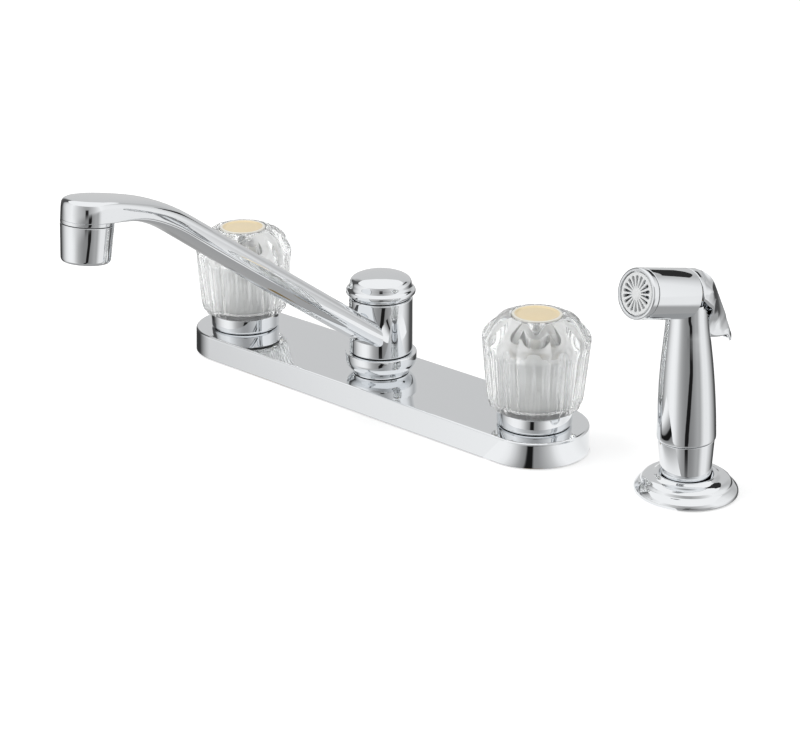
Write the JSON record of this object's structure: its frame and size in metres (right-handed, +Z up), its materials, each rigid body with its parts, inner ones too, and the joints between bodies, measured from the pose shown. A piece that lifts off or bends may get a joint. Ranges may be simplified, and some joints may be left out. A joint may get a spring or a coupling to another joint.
{
  "type": "two handle kitchen faucet",
  "caption": "Deck mounted kitchen faucet with a long chrome plate, low swivel spout, clear acrylic knobs and a side spray standing in its own holder.",
  "frame": {"origin": "on the deck surface, on the axis that the spout turns on", "axes": "+X towards the cold handle and the spray, -Y towards the user, +Z up"},
  "size_m": [0.3408, 0.2321, 0.1984],
  "materials": {
    "chrome": "polished chrome plate",
    "brass": "turned brass",
    "copper": "drawn copper tube",
    "steel": "stainless wire and screws",
    "rubber": "black moulded rubber",
    "nylon": "moulded natural plastic",
    "acrylic": "clear faceted acrylic",
    "index": "pale gold disc in a paler rim",
    "white_plastic": "moulded white plastic"
  },
  "bodies": {
    "deck_unit": {"deckplate": "chrome", "base_gasket": "rubber", "centre_post": "brass", "lower_post_oring": "rubber", "upper_post_oring": "rubber", "hub_base_ring": "chrome", "spout_glide_ring": "nylon", "spout_cap": "chrome", "spray_nipple": "brass", "spray_riser": "copper", "diverter_spring": "steel", "hot_valve_body": "brass", "hot_seat": "rubber", "hot_seat_spring": "steel", "hot_bonnet": "brass", "hot_flange_ring": "chrome", "hot_locknut": "nylon", "hot_mix_tube": "copper", "cold_valve_body": "brass", "cold_seat": "rubber", "cold_seat_spring": "steel", "cold_bonnet": "brass", "cold_flange_ring": "chrome", "cold_locknut": "nylon", "cold_mix_tube": "copper", "spray_holder": "chrome", "holder_gasket": "rubber", "holder_nut": "nylon"},
    "spout": {"spout": "chrome", "outlet_shell": "chrome", "aerator_washer": "rubber", "aerator_insert": "nylon"},
    "diverter": {"diverter_piston": "nylon"},
    "hot_handle": {"hot_knob": "acrylic", "hot_knob_insert": "nylon", "hot_knob_screw": "steel", "hot_index_button": "index", "hot_stem": "brass", "hot_stem_oring": "rubber"},
    "cold_handle": {"cold_knob": "acrylic", "cold_knob_insert": "nylon", "cold_knob_screw": "steel", "cold_index_button": "index", "cold_stem": "brass", "cold_stem_oring": "rubber"},
    "spray_coupling": {"spray_coupling": "chrome", "hose_washer": "rubber", "coupling_oring": "rubber"},
    "spray_wand": {"spray_handle": "chrome", "nozzle_ring": "chrome", "nozzle_face": "white_plastic", "lever_pin": "steel"},
    "spray_lever": {"spray_lever": "chrome"},
    "spray_plunger": {"spray_plunger": "brass", "plunger_spring": "steel"}
  },
  "joints": [
    {"name": "spout_swivel", "type": "hinge", "parent": "deck_unit", "child": "spout", "pos_m": [0, 0, 0.04], "axis": [0, 0, 1], "continuous": true},
    {"name": "hot_handle_turn", "type": "hinge", "parent": "deck_unit", "child": "hot_handle", "pos_m": [-0.1016, 0, 0.045], "axis": [0, 0, 1], "range_deg": [0, 90]},
    {"name": "cold_handle_turn", "type": "hinge", "parent": "deck_unit", "child": "cold_handle", "pos_m": [0.1016, 0, 0.045], "axis": [0, 0, -1], "range_deg": [0, 90]},
    {"name": "diverter_slide", "type": "slide", "parent": "deck_unit", "child": "diverter", "axis": [0, 0, 1], "range_m": [0, 0.003], "stiffness_N_per_m": 30, "springref_m": -0.003, "deforming": ["diverter_spring"]},
    {"name": "spray_lift", "type": "slide", "parent": "deck_unit", "child": "spray_coupling", "axis": [0, 0, 1], "range_m": [0, 0.15]},
    {"name": "spray_spin", "type": "hinge", "parent": "spray_coupling", "child": "spray_wand", "pos_m": [0.1849, 0.0091, 0.0015], "axis": [-0.0322, -0.0294, 0.999], "continuous": true},
    {"name": "lever_press", "type": "hinge", "parent": "spray_wand", "child": "spray_lever", "pos_m": [0.18191, 0.00765, 0.10327], "axis": [-0.9819, 0.1878, -0.0261], "range_deg": [0, 7], "stiffness_Nm_per_rad": 0.5, "springref_deg": -5.73},
    {"name": "plunger_slide", "type": "slide", "parent": "spray_wand", "child": "spray_plunger", "axis": [-0.1891, -0.9604, 0.2044], "range_m": [0, 0.0009]}
  ],
  "couplings": [
    {"joint": "plunger_slide", "follows": "lever_press", "m_per_rad": 0.0072}
  ]
}
